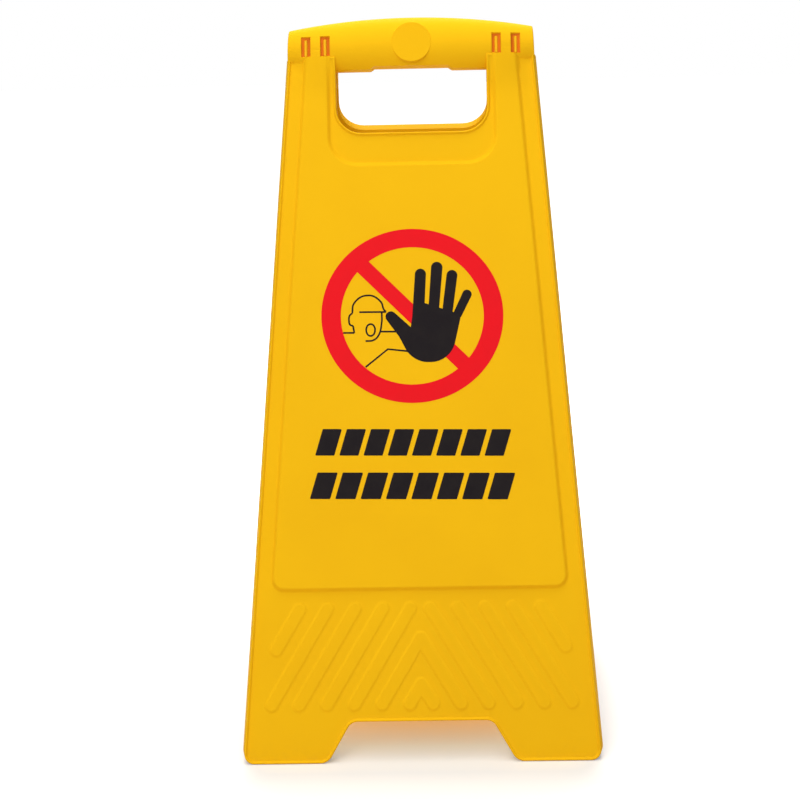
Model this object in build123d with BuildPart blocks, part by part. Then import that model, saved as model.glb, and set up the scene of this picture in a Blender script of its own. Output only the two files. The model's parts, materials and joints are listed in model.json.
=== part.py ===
from build123d import *
import os
from math import cos, radians, sin, tan

# Whole stand, millimetres and degrees
leg_length = 598.0
lean = 14.0
base_width = 300.0
hinge_width = 205.0
wall = 2.5

# Levels across a panel, counted from the plane where the folded panels meet
fold_gap = 0.3
stop_gap = 0.15
border_level = 11.5
lip_rise = 1.5
lip_width = 2.6
lip_bevel = 0.6
lip_start = 8.0
field_rise = 5.0
chevron_rise = 1.0

# Feet and the cut-out between them, heights counted up from the foot line
foot_outer_radius = 5.0
foot_inner_radius = 9.0
cut_height = 31.6
cut_top_width = 120.0
cut_slope = 60.0
cut_radius = 6.0

# Raised sign field, its lower edge counted up from the foot line
field_margin = 12.6
field_height = 141.2
field_corner_radius = 9.0
field_taper = 26.0
field_bevel = 0.8

# Hand hole and the sunken zone round it, depths counted down from the hinge axis
arm_width = 39.6
hole_bottom = 72.4
hole_radius = 21.0
sunken_margin = 4.9
sunken_bottom = 97.0
sunken_radius = 21.0

# Chevron ribs, heights counted up from the foot line
chevron_width = 11.4
chevron_corner = 3.4
chevron_pitch = 22.6
chevron_slope = 60.0
chevron_first = 10.2
chevron_start = 49.0
chevron_end = 127.5
outer_chevron_start = 89.0
full_chevrons = 6

# Handle barrel, its crown turned as a row of short cones
crown_radius = 25.7
crown_steps = 8
end_radius = 16.8
end_bevel = 1.8
grip_floor = 19.6
notch_width = 62.0
notch_slant = 3.2
notch_rise = 2.2
boss_diameter = 33.5
boss_level = 25.3

# Hinge inside the handle
window_width = 7.4
window_height = 17.2
window_inset = 14.5
window_pitch = 16.25
hook_thickness = 3.0
hook_front = 9.0
hub_radius = 6.2
mouth_width = 4.6
carrier_thickness = 3.0
carrier_gap = 2.15
pin_radius = 3.0
pin_running_clearance = 0.05
pin_press = 0.02

# Values that follow from the sizes above
axis_height = leg_length * cos(radians(lean))
side_slope = (base_width - hinge_width) / (2 * leg_length)
end_reach = hinge_width / 2 - side_slope * end_radius
crown_rise = crown_radius - end_radius
crown_sweep = (end_reach**2 + crown_rise**2) / (2 * crown_rise)
sole = leg_length + (border_level + lip_rise) * tan(radians(lean))
cut_top = leg_length - cut_height
field_bottom = leg_length - field_height
chevron_low = leg_length - chevron_start
chevron_high = leg_length - chevron_end
outer_chevron_low = leg_length - outer_chevron_start
hole_width = hinge_width - 2 * arm_width
sunken_width = hole_width + 2 * sunken_margin
outer_window = hinge_width / 2 - window_inset
inner_window = outer_window - window_pitch
cut_foot_width = cut_top_width + 2 * (sole - cut_top) / tan(radians(cut_slope))
hook_places = [inner_window, outer_window]
middle_carrier = (inner_window + outer_window) / 2
carrier_step = hook_thickness / 2 + carrier_gap + carrier_thickness / 2
carrier_places = [inner_window - carrier_step, middle_carrier, outer_window + carrier_step]
pin_start = carrier_places[0] - carrier_thickness / 2
pin_length = carrier_places[2] + carrier_thickness / 2 - pin_start
past = 60.0


def half_width(down, margin):
    edge_length = (1 + side_slope**2) ** 0.5
    return hinge_width / 2 + side_slope * down - margin * edge_length


def barrel_radius(along):
    return crown_radius - crown_sweep + (crown_sweep**2 - along**2) ** 0.5


def crown_line(reach, inset):
    step = 2 * reach / crown_steps
    places = [count * step - reach for count in range(crown_steps + 1)]
    return [(along, barrel_radius(along) - inset) for along in places]


def floor_line(rise):
    low = rise - grip_floor
    high = low + notch_rise
    inner = notch_width / 2
    outer = inner + notch_slant
    return [
        (-hinge_width, low - past),
        (-hinge_width, low),
        (-outer, low),
        (-inner, high),
        (inner, high),
        (outer, low),
        (hinge_width, low),
        (hinge_width, low - past),
    ]


def bar_outline(length):
    side = chevron_width / 2
    end = length / 2
    return [
        (end - chevron_corner, side),
        (end, side - chevron_corner),
        (end, chevron_corner - side),
        (end - chevron_corner, -side),
        (chevron_corner - end, -side),
        (-end, chevron_corner - side),
        (-end, side - chevron_corner),
        (chevron_corner - end, side),
    ]


# Flat shapes shared by both panels, drawn with the hinge axis along X at the top
with BuildSketch() as board:
    with BuildLine():
        Polyline(
            (-hinge_width / 2, 0),
            (hinge_width / 2, 0),
            (half_width(sole, 0), -sole),
            (cut_foot_width / 2, -sole),
            (cut_top_width / 2, -cut_top),
            (-cut_top_width / 2, -cut_top),
            (-cut_foot_width / 2, -sole),
            (-half_width(sole, 0), -sole),
            close=True,
        )
    make_face()
    fillet(board.vertices().group_by(Axis.Y)[1], cut_radius)
    fillet(board.vertices().group_by(Axis.Y)[0].sort_by(Axis.X)[1:3], foot_inner_radius)
    low_points = board.vertices().group_by(Axis.Y)[0].sort_by(Axis.X)
    fillet([low_points[0], low_points[-1]], foot_outer_radius)

with BuildSketch() as field:
    with BuildLine():
        Polyline(
            (-half_width(0, field_margin), 0),
            (-half_width(field_bottom, field_margin), -field_bottom),
            (half_width(field_bottom, field_margin), -field_bottom),
            (half_width(0, field_margin), 0),
            (sunken_width / 2, 0),
            (sunken_width / 2, -sunken_bottom),
            (-sunken_width / 2, -sunken_bottom),
            (-sunken_width / 2, 0),
            close=True,
        )
    make_face()
    fillet(field.vertices().group_by(Axis.Y)[1], sunken_radius)
    fillet(field.vertices().group_by(Axis.Y)[0], field_corner_radius)

with BuildSketch() as hole:
    with Locations((0, -hole_bottom / 2)):
        Rectangle(hole_width, hole_bottom)
    fillet(hole.vertices().group_by(Axis.Y)[0], hole_radius)

with BuildSketch() as chevrons:
    for count in range(full_chevrons + 1):
        low = chevron_low if count < full_chevrons else outer_chevron_low
        slant = tan(radians(chevron_slope))
        foot = chevron_first + count * chevron_pitch - (chevron_low - low) / slant
        rise = min(low - chevron_high, foot * slant)
        for hand in (-1, 1):
            with Locations((hand * (foot - rise / slant / 2), rise / 2 - low)):
                Polygon(
                    *bar_outline(rise / sin(radians(chevron_slope)) + chevron_width),
                    rotation=-hand * chevron_slope,
                )


def make_panel(plane):
    across = Plane(origin=plane.origin, x_dir=plane.y_dir, z_dir=plane.x_dir)
    hinge_axis = Axis(plane.origin, plane.x_dir)
    outward = Axis(plane.origin, plane.z_dir)
    stop_offset = stop_gap / cos(radians(lean))
    behind_line = [
        (-past, fold_gap),
        (0, fold_gap),
        (0, stop_offset),
        (past, past * tan(radians(lean)) + stop_offset),
        (past, -past),
        (-past, -past),
    ]

    # Handle barrel: crowned, turned about the hinge axis, with a flat floor and a finger notch
    with BuildPart() as barrel:
        with BuildSketch(plane):
            with BuildLine():
                Polyline((-hinge_width / 2, 0), *crown_line(end_reach, 0), (hinge_width / 2, 0), close=True)
            make_face()
        revolve(axis=hinge_axis)
        rims = barrel.edges().filter_by(GeomType.CIRCLE).sort_by(Axis.X)
        chamfer([rims[0], rims[-1]], end_bevel)
        with BuildSketch(plane.offset(boss_level)):
            Circle(boss_diameter / 2)
        extrude(amount=past, mode=Mode.SUBTRACT)
        with BuildSketch(plane):
            Circle(boss_diameter / 2)
        extrude(amount=boss_level)
        with BuildSketch(plane):
            with BuildLine():
                Polyline(*floor_line(0), close=True)
            make_face()
        extrude(amount=past, both=True, mode=Mode.SUBTRACT)

    # Hollow inside the barrel
    with BuildPart() as hollow:
        inner_reach = end_reach - wall
        with BuildSketch(plane):
            with BuildLine():
                Polyline((-inner_reach, 0), *crown_line(inner_reach, wall), (inner_reach, 0), close=True)
            make_face()
        revolve(axis=hinge_axis)
        with BuildSketch(plane.offset(boss_level - wall)):
            Circle(boss_diameter / 2 + wall)
        extrude(amount=past, mode=Mode.SUBTRACT)
        with BuildSketch(plane):
            with BuildLine():
                Polyline(*floor_line(wall), close=True)
            make_face()
        extrude(amount=past, both=True, mode=Mode.SUBTRACT)

    # Two hooks in the left arm and three pin carriers in the right arm, thin plates with round hubs
    with BuildPart() as hinge_plates:
        for place in hook_places:
            with BuildSketch(across.offset(-place - hook_thickness / 2)):
                Circle(barrel_radius(place) - wall / 2)
                with Locations((0, hook_front + past / 2)):
                    Rectangle(window_height, past, mode=Mode.SUBTRACT)
                with BuildLine():
                    Polyline(*behind_line, close=True)
                make_face(mode=Mode.SUBTRACT)
                Circle(hub_radius)
                Circle(pin_radius + pin_running_clearance, mode=Mode.SUBTRACT)
                with Locations((0, -hub_radius)):
                    Rectangle(mouth_width, 2 * hub_radius, mode=Mode.SUBTRACT)
            extrude(amount=hook_thickness)
        for place in carrier_places:
            with BuildSketch(across.offset(place - carrier_thickness / 2)):
                Circle(barrel_radius(place) - wall / 2)
                with BuildLine():
                    Polyline(*behind_line, close=True)
                make_face(mode=Mode.SUBTRACT)
                Circle(hub_radius)
                Circle(pin_radius - pin_press, mode=Mode.SUBTRACT)
            extrude(amount=carrier_thickness)

    with BuildPart() as panel:
        # Board with its feet and its bevelled edge lip
        with BuildSketch(plane.offset(fold_gap)):
            add(board.sketch_local)
        extrude(amount=border_level - fold_gap)
        with BuildSketch(plane.offset(border_level)):
            add(board.sketch_local)
            offset(amount=-lip_width, mode=Mode.SUBTRACT)
            Rectangle(2 * hinge_width, 2 * lip_start, mode=Mode.SUBTRACT)
        extrude(amount=lip_rise)
        chamfer(panel.faces(Select.LAST).sort_by(outward)[-1].edges(), lip_bevel)

        # Raised sign field and chevron ribs
        with BuildSketch(plane.offset(border_level)):
            add(field.sketch_local)
        extrude(amount=field_rise, taper=field_taper)
        chamfer(panel.faces(Select.LAST).sort_by(outward)[-1].edges(), field_bevel)
        with BuildSketch(plane.offset(border_level)):
            add(chevrons.sketch_local)
        extrude(amount=chevron_rise)

        # Hand hole with its own bevelled lip
        with BuildSketch(plane):
            add(hole.sketch_local)
        extrude(amount=past, mode=Mode.SUBTRACT)
        with BuildSketch(plane.offset(border_level)):
            add(hole.sketch_local)
            offset(amount=lip_width)
            add(hole.sketch_local, mode=Mode.SUBTRACT)
            Rectangle(2 * hinge_width, 2 * lip_start, mode=Mode.SUBTRACT)
        extrude(amount=lip_rise)
        chamfer(panel.faces(Select.LAST).sort_by(outward)[-1].edges(), lip_bevel)

        # Handle in front, then the board, the field and the handle hollowed from behind
        add(barrel.part)
        with BuildSketch(plane) as guard:
            add(hole.sketch_local)
            offset(amount=wall)
        with BuildSketch(plane):
            add(board.sketch_local)
            offset(amount=-wall)
            add(guard.sketch_local, mode=Mode.SUBTRACT)
            with Locations((0, -sole)):
                Rectangle(2 * base_width, 2 * (sole - leg_length + wall), mode=Mode.SUBTRACT)
        extrude(amount=border_level - wall, mode=Mode.SUBTRACT)
        with BuildSketch(plane.offset(border_level - wall)):
            add(field.sketch_local)
            offset(amount=-wall)
        extrude(amount=field_rise, taper=field_taper, mode=Mode.SUBTRACT)
        add(hollow.part, mode=Mode.SUBTRACT)
        with BuildSketch(across.offset(-hinge_width)):
            with BuildLine():
                Polyline(*behind_line, close=True)
            make_face()
        extrude(amount=2 * hinge_width, mode=Mode.SUBTRACT)

        # Hinge plates, the windows in front of them, and the soles trimmed flat to the floor
        add(hinge_plates.part)
        with BuildSketch(plane.offset(hook_front)):
            for place in hook_places:
                with Locations((-place, 0), (place, 0)):
                    Rectangle(window_width, window_height)
        extrude(amount=past, mode=Mode.SUBTRACT)
        with BuildSketch(Plane.XY):
            Rectangle(3 * base_width, 3 * base_width)
        extrude(amount=-past, mode=Mode.SUBTRACT)
    return panel


def make_pin(plane):
    across = Plane(origin=plane.origin, x_dir=plane.y_dir, z_dir=plane.x_dir)
    with BuildPart() as pin:
        with BuildSketch(across.offset(pin_start)):
            Circle(pin_radius)
        extrude(amount=pin_length)
    return pin


front_plane = Plane(
    origin=(0, 0, axis_height),
    x_dir=(1, 0, 0),
    z_dir=(0, -cos(radians(lean)), sin(radians(lean))),
)
rear_plane = Plane(
    origin=(0, 0, axis_height),
    x_dir=(-1, 0, 0),
    z_dir=(0, cos(radians(lean)), sin(radians(lean))),
)

front_panel = make_panel(front_plane)
front_panel.part.label = "front_panel"
rear_panel = make_panel(rear_plane)
rear_panel.part.label = "rear_panel"
front_hinge_pin = make_pin(front_plane)
front_hinge_pin.part.label = "front_hinge_pin"
rear_hinge_pin = make_pin(rear_plane)
rear_hinge_pin.part.label = "rear_hinge_pin"

os.makedirs("parts", exist_ok=True)
export_step(front_panel.part, "parts/front_panel.step")
export_step(rear_panel.part, "parts/rear_panel.step")
export_step(front_hinge_pin.part, "parts/front_hinge_pin.step")
export_step(rear_hinge_pin.part, "parts/rear_hinge_pin.step")
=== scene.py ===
import json
from math import asin, copysign, cos, pi, radians, sin, tan

import bmesh
import bpy
from bmesh.types import BMEdge, BMFace, BMVert
from bpy.props import FloatProperty, FloatVectorProperty, IntProperty, PointerProperty
from mathutils import Matrix, Vector


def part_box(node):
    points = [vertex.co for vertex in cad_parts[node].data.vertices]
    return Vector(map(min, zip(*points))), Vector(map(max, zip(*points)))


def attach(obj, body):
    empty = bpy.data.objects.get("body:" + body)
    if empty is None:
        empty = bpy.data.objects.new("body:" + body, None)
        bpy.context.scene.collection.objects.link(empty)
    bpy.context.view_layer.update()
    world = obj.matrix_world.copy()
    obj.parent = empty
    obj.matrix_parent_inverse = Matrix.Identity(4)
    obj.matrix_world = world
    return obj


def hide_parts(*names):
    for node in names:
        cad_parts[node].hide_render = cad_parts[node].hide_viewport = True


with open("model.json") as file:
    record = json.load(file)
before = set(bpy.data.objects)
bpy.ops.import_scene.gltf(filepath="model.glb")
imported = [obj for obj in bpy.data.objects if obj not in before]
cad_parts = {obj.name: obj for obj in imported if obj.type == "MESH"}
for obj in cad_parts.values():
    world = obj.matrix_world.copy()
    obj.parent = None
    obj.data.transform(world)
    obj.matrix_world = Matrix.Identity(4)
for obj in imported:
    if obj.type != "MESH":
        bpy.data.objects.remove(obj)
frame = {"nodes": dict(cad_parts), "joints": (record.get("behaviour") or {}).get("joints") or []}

bl_info = {
    "name": "Folding floor sign",
    "version": (1, 0, 0),
    "blender": (4, 5, 0),
    "location": "3D View > Sidebar > Floor sign",
    "description": "Moulded skins, hinge, print and stage of a folding floor sign on its CAD frame",
    "category": "Object",
}

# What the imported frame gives: the hinge axis, the lean of a panel and the size of the CAD model
HINGE = frame["joints"][0]
HINGE_PLACE = Vector(HINGE["pos_m"])
LEAN = radians(HINGE["range_deg"][1]) / 2
LEG_LENGTH = HINGE_PLACE.z / cos(LEAN)
BASE_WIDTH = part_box("front_panel")[1].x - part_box("front_panel")[0].x
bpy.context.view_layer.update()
SIDES = {"front": 0.0, "rear": pi}  # turn of each panel about the upright

# Directions in a panel's own frame: X across, Y up from the hinge axis, Z outwards
ACROSS = Vector((1, 0, 0))
ALONG = Vector((0, 1, 0))
OUT = Vector((0, 0, 1))
UP = Vector((0, cos(LEAN), sin(LEAN)))
STOP_NORMAL = Vector((0, -sin(LEAN), cos(LEAN)))

# Fixed limits and shares
WELD = 0.000002  # points nearer than this are one
SHARP = radians(32)  # edges look sharp from this angle on
PLATE_EDGE = radians(50)  # the hinge plates' edges are rounded from this angle on
END_FACING = 0.9  # a face is an end of the handle from this share of its normal along X on
END_SLANT = 7  # power with which the handle's slant grows towards its ends
ARM_LEVELS = 12  # cuts along an arm where it leads out to the handle
ARM_RELIEF = 0.15  # share of the arms' relief that is left where they run into the handle
TRAY_LEAN = 1 / 8  # lean of a tray's inner walls, as a share of the wall
POCKET_BRIM = 0.9  # width of a pocket's brim, as a share of the wall
HOOK_SPACE = 1.5  # pocket walls from a pocket's floor back to the hook behind it
SLASH_INK = 0.8  # height of the slash as a share of the ring's, so that they share no plane
HAND_INK = 1.3  # height of the hand as a share of the ring's
DRAWN = 1000  # the drawn hand and figure are given in millimetres
FLOOR_SIZE = 6  # half the width of the floor
LAMP_AIM = Vector((0, 0, 0.3))


def kind_of(maker, **traits):
    """A short way to declare properties of one kind by name, description and default."""

    def declare(name, description, default):
        return maker(name=name, description=description, default=default, **traits)

    return declare


length = kind_of(FloatProperty, unit="LENGTH", subtype="DISTANCE", precision=5)
angle = kind_of(FloatProperty, unit="ROTATION", subtype="ANGLE")
power = kind_of(FloatProperty, unit="POWER")
number = kind_of(FloatProperty)
whole_number = kind_of(IntProperty)
colour = kind_of(FloatVectorProperty, size=4, min=0, max=1, subtype="COLOR")
place = kind_of(FloatVectorProperty, size=2, unit="LENGTH", subtype="TRANSLATION")


class SIGN_PG_panel(bpy.types.PropertyGroup):
    """Sizes of one moulded panel: X across, Y up from the hinge axis, Z outwards."""

    leg_length: length("Leg length", "Hinge axis to foot along the panel", LEG_LENGTH)
    base_width: length("Base width", "Width across the feet", BASE_WIDTH)
    hinge_width: length("Hinge width", "Width at the hinge axis", 0.205)
    wall: length("Wall", "Thickness of the moulding", 0.0025)
    fold_gap: length("Fold gap", "Half the gap between the folded panels", 0.0003)
    border_level: length("Border level", "Front of the border", 0.0115)
    lip_rise: length("Lip rise", "Height of the rounded edge lip", 0.0018)
    lip_width: length("Lip width", "Width of the rounded edge lip", 0.0021)
    lip_fall: length("Lip fall", "Width of the soft fall from the lip to the border", 0.0018)
    draft: length("Draft", "Taper of the outer walls from the fold plane to the front", 0.0022)
    side_inset: length("Side inset", "How far the front's outer edges stand inside the given widths", 0.0001)
    arm_top: length("Arm top", "Depth below the axis where the arms end", 0.009)
    arm_flare: length("Arm flare", "Depth below the axis where the arms start to flare to the handle", 0.045)
    arm_dip: length("Arm dip", "How far the arms dip below the handle's front at the axis", 0.0005)
    field_top: length("Field top", "Depth below the axis where the sign field's arms end", 0.0002)
    foot_outer_radius: length("Outer foot radius", "Rounding of the outer foot corners", 0.0078)
    foot_inner_radius: length("Inner foot radius", "Rounding of the inner foot corners", 0.010)
    cut_height: length("Cut-out height", "Top of the cut-out above the foot line", 0.0316)
    cut_top_width: length("Cut-out width", "Width at the top of the cut-out", 0.1184)
    cut_slope: angle("Cut-out slope", "Slope of the cut-out's sides", radians(60))
    cut_radius: length("Cut-out radius", "Rounding of the cut-out's top corners", 0.009)
    hole_width: length("Hand hole width", "Width of the hand hole", 0.1268)
    hole_bottom: length("Hand hole depth", "Lower edge of the hand hole below the axis", 0.0724)
    hole_radius: length("Hand hole radius", "Rounding of the hand hole", 0.021)
    field_rise: length("Field rise", "Height of the raised sign field", 0.0032)
    field_margin: length("Field margin", "Sign field to outer edge", 0.0126)
    field_height: length("Field height", "Lower edge of the sign field above the foot line", 0.1402)
    field_radius: length("Field radius", "Rounding of the sign field's corners", 0.012)
    field_run: length("Field step run", "Width of the soft step round the sign field", 0.0040)
    sunken_margin: length("Sunken margin", "Width of the sunken zone beside the hand hole", 0.0044)
    sunken_bottom: length("Sunken depth", "Lower edge of the sunken zone below the axis", 0.097)
    rib_width: length("Rib width", "Width of a chevron rib", 0.0138)
    rib_rise: length("Rib rise", "Height of a chevron rib", 0.00085)
    rib_run: length("Rib step run", "Width of the soft step round a rib", 0.0028)
    rib_pitch: length("Rib pitch", "Distance between ribs along the base", 0.0232)
    rib_first: length("First rib", "Foot of the first rib from the middle", 0.0098)
    rib_slope: angle("Rib slope", "Slope of the ribs", radians(59))
    rib_start: length("Rib start", "Foot of the ribs above the foot line", 0.046)
    rib_end: length("Rib end", "Top of the ribs above the foot line", 0.1257)
    outer_rib_start: length("Outer rib start", "Foot of the short outermost rib above the foot line", 0.0925)
    full_ribs: whole_number("Full ribs", "Ribs of full length on each side", 6)


class SIGN_PG_handle(bpy.types.PropertyGroup):
    """Sizes of the half handle and of the hinge inside it."""

    crown_radius: length("Crown radius", "Radius at the middle of the handle", 0.0257)
    end_radius: length("End radius", "Radius at the ends of the handle", 0.0168)
    end_round: length("End rounding", "Rounding of the handle's ends", 0.0011)
    end_proud: length("End proud", "How far the handle's ends stand out past the panel's sides", 0.0010)
    stop_gap: length("Stop gap", "Half the gap between the two handle halves", 0.00015)
    grip_floor: length("Grip floor", "Flat underside of the handle below the axis", 0.0196)
    notch_width: length("Notch width", "Width of the finger notch in the grip floor", 0.062)
    notch_slant: length("Notch slant", "Run of the notch's slanted ends", 0.0032)
    notch_rise: length("Notch rise", "Depth of the notch", 0.0022)
    boss_diameter: length("Boss diameter", "Flat round boss in the middle of the handle", 0.0335)
    boss_level: length("Boss level", "Front of the boss", 0.0257)
    boss_place: place("Boss place", "Middle of the boss from the hinge axis", (0.0008, 0.0014))
    boss_run: length("Boss rim run", "Width of the boss's rounded rim", 0.0007)
    boss_fall: length("Boss rim fall", "Depth of the boss's rounded rim", 0.0012)
    window_width: length("Window width", "Width of a hinge window", 0.0081)
    window_height: length("Window height", "Height of a hinge window", 0.0172)
    window_inset: length("Window inset", "Outer window to the end of the handle", 0.0145)
    window_pitch: length("Window pitch", "Distance between the two windows", 0.01625)
    plate_thickness: length("Plate thickness", "Thickness of hooks and pin carriers", 0.003)
    plate_gap: length("Plate gap", "Gap between a hook and a pin carrier", 0.00215)
    hub_radius: length("Hub radius", "Outer radius of hooks and carriers at the pin", 0.0062)
    bore_radius: length("Bore radius", "Inner radius of hooks and carriers at the pin", 0.00305)
    mouth_width: length("Mouth width", "Opening of a hook", 0.0046)
    plate_round: length("Plate rounding", "Rounding of the plates' edges", 0.0004)
    pocket_depth: length("Pocket depth", "Depth of a window's pocket below the handle's skin", 0.0036)
    pocket_wall: length("Pocket wall", "Thickness of the pocket behind a window", 0.0008)
    bar_width: length("Bar width", "Width of the upright bar in a pocket", 0.0026)
    bar_rise: length("Bar rise", "Height of a bar above the pocket's floor", 0.0012)


class SIGN_PG_print(bpy.types.PropertyGroup):
    """Sizes of the printed pictogram and of the plain bars below it."""

    centre: place("Centre", "Middle of the ring in the panel's own X and Y", (-0.00235, -0.2274))
    turn: angle("Turn", "Turn of the print on the panel", radians(-1.0))
    ink: length("Ink height", "Height of the print above the sign field", 0.00012)
    ring_outer: place("Ring outer radii", "Half width and half height of the ring", (0.0763, 0.0730))
    ring_inner: place("Ring inner radii", "Half width and half height of the opening", (0.0599, 0.05755))
    slash_width: length("Slash width", "Width of the diagonal bar", 0.0131)
    slash_offset: length("Slash offset", "Middle of the diagonal bar off the ring's middle", 0.0011)
    slash_length: length("Slash length", "Length of the diagonal bar", 0.126)
    slash_slope: angle("Slash slope", "Slope of the diagonal bar", radians(-43.8))
    line_width: length("Line width", "Width of the drawn lines", 0.0015)
    bar_count: whole_number("Bars", "Plain bars in each row below the ring", 8)
    bar_height: length("Bar height", "Height of a row of bars", 0.0222)
    bar_gap: length("Bar gap", "Gap between bars", 0.0042)
    bar_slant: length("Bar slant", "Sideways lean of a bar over its height", 0.0064)
    upper_row: place("Upper row", "Middle of the upper row from the middle of the ring", (0.0008, -0.1060))
    upper_length: length("Upper row length", "Length of the upper row", 0.1643)
    lower_row: place("Lower row", "Middle of the lower row from the middle of the ring", (0.0003, -0.1424))
    lower_length: length("Lower row length", "Length of the lower row", 0.1720)


class SIGN_PG_finish(bpy.types.PropertyGroup):
    """Colours of the stand and of the stage."""

    yellow: colour("Yellow", "Moulded plastic", (0.862, 0.488, 0.008, 1))
    deep_yellow: colour("Deep yellow", "Slow drift of the plastic's colour", (0.838, 0.465, 0.008, 1))
    # The pockets' orange is painted glow. It stands for light bounced and carried through the plastic inside
    # the hollow handle, whose plastic is the same yellow as the rest.
    painted_glow_orange: colour("Orange", "Glow of the plastic in the window pockets", (0.74, 0.195, 0.014, 1))
    painted_glow_deep_orange: colour("Deep orange", "Slow drift of the pockets' colour", (0.66, 0.150, 0.011, 1))
    scuff: colour("Scuff", "Floor scuffs low on the feet", (0.70, 0.38, 0.02, 1))
    red: colour("Red", "Printed ring and slash", (0.790, 0.0078, 0.0145, 1))
    deep_red: colour("Deep red", "Thin patches of the red ink", (0.755, 0.0088, 0.0145, 1))
    black: colour("Black", "Printed figure and bars", (0.0105, 0.0080, 0.0095, 1))
    worn_black: colour("Worn black", "Thin patches of the black ink", (0.0150, 0.0120, 0.0120, 1))
    floor: colour("Floor", "Pale studio floor", (0.76, 0.68, 0.60, 1))
    floor_drift: colour("Floor drift", "Slow drift of the floor's colour", (0.74, 0.66, 0.58, 1))
    # The three glows are painted light on the floor, seen from the camera. There is orange under the stand,
    # then a pale lift and a bluish lift that take the warm-tinted floor towards white.
    painted_warm_glow: colour("Warm glow", "Light through the plastic on the floor below", (0.48, 0.21, 0.03, 1))
    painted_near_glow: colour("Near glow", "Light on the floor next to the white", (0.11, 0.20, 0.26, 1))
    painted_pale_glow: colour("Pale glow", "Light on the floor near the feet", (0.33, 0.32, 0.24, 1))


class SIGN_PG_stage(bpy.types.PropertyGroup):
    """Camera and lamps."""

    camera_distance: length("Camera distance", "Camera to aim point", 2.1)
    camera_azimuth: angle("Camera azimuth", "Camera turned to the right of the front", radians(1.8))
    camera_elevation: angle("Camera elevation", "Camera above the horizon", radians(12.75))
    camera_roll: angle("Camera roll", "Turn of the image", radians(-1.386))
    aim_across: length("Aim across", "Aim point sideways", -0.01651)
    aim_height: length("Aim height", "Aim point above the floor", 0.27536)
    lens: number("Lens", "Focal length in millimetres", 108.08)
    top_power: power("Top lamp", "Power of the lamp overhead", 30.0)
    key_power: power("Key lamp", "Power of the lamp up in front", 24.0)
    front_power: power("Front lamp", "Power of the low lamp in front", 3.0)
    back_power: power("Back lamp", "Power of the lamp up behind", 36.0)
    sky: number("Sky", "Soft light from all round", 0.30)
    # These set where the floor's painted light is warm, pale and bluish, from the middle of the stand out to
    # plain white.
    warm_reach: length("Warm reach", "Distance from the middle where the floor is warmest", 0.055)
    pale_reach: length("Pale reach", "Distance from the middle where the floor is pale", 0.12)
    shadow_reach: length("Shadow reach", "Distance from the middle where the shadow starts to fade", 0.18)
    side_start: length("Side start", "Distance sideways from which the floor runs out to white", 0.07)
    side_squeeze: number("Side squeeze", "How much sooner the floor is white sideways", 2.6)
    white_from: length("White from", "Distance from the middle where the floor is plain white", 0.42)


# Panel frames and outlines


def panel_place(side):
    turn = Matrix.Rotation(SIDES[side], 4, "Z") @ Matrix.Rotation(pi / 2 - LEAN, 4, "X")
    return Matrix.Translation(HINGE_PLACE) @ turn


def side_slope(panel):
    """How far a side runs outwards for each length down the panel."""
    return (panel.base_width - panel.hinge_width) / (2 * panel.leg_length)


def half_width(panel, down, margin=0.0):
    """Half the width at a depth below the hinge axis, less a margin square to the side."""
    slope = side_slope(panel)
    return panel.hinge_width / 2 + slope * down - margin * (1 + slope**2) ** 0.5


def mirrored(right_half):
    left_half = [(-across, up, radius) for across, up, radius in reversed(right_half)]
    return right_half + left_half


def rectangle(across, up, wide, tall):
    """Corners of a rectangle about a point, from half its width and half its height."""
    hands = ((-1, -1), (1, -1), (1, 1), (-1, 1))
    return [(across + x * wide, up + y * tall, 0) for x, y in hands]


def board_corners(panel):
    sole = panel.leg_length + (panel.border_level + panel.lip_rise) * tan(LEAN) + panel.lip_width
    cut_top = panel.leg_length - panel.cut_height
    cut_foot = panel.cut_top_width / 2 + (sole - cut_top) / tan(panel.cut_slope)
    right_half = [
        (panel.cut_top_width / 2, -cut_top, panel.cut_radius),
        (cut_foot, -sole, 0),
        (half_width(panel, sole, panel.side_inset), -sole, 0),
        (half_width(panel, panel.arm_top, panel.side_inset), -panel.arm_top, 0),
        (panel.hole_width / 2, -panel.arm_top, 0),
        (panel.hole_width / 2, -panel.hole_bottom, panel.hole_radius),
    ]
    return mirrored(right_half)


def field_corners(panel, inset, top):
    bottom = panel.leg_length - panel.field_height - inset
    notch = panel.hole_width / 2 + panel.sunken_margin + inset
    right_half = [
        (half_width(panel, bottom, panel.field_margin + inset), -bottom, panel.field_radius - inset),
        (half_width(panel, top, panel.field_margin + inset), -top, 0),
        (notch, -top, 0),
        (notch, -panel.sunken_bottom - inset, panel.hole_radius + inset),
    ]
    return mirrored(right_half)


# Mesh helpers


def only(kind, geom):
    """The vertices, edges or faces among what an operator returns."""
    return [item for item in geom if isinstance(item, kind)]


def faces_where(bm, test):
    """The faces whose middle passes a test."""
    return [face for face in bm.faces if test(face.calc_center_median())]


def facing(bm, direction):
    """The largest flat face that looks in a direction."""
    return max(bm.faces, key=lambda face: face.normal.dot(direction) * face.calc_area())


def bevel(bm, geom, affect, offset, segments, **more):
    bmesh.ops.bevel(
        bm, geom=geom, affect=affect, offset=offset, segments=segments, profile=0.5, material=-1, **more
    )


def add_outline(bm, corners, level, steps=8):
    """A flat face with rounded corners, each corner given as across, up and radius."""
    before = set(bm.faces)
    points = [bm.verts.new((across, up, level)) for across, up, radius in corners]
    bm.faces.new(points)
    for point, (across, up, radius) in zip(points, corners):
        if radius > 0:
            arms = [edge.other_vert(point).co - point.co for edge in point.link_edges]
            bevel(bm, [point], "VERTICES", radius / tan(arms[0].angle(arms[1]) / 2), steps)
    return next(face for face in bm.faces if face not in before)


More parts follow.
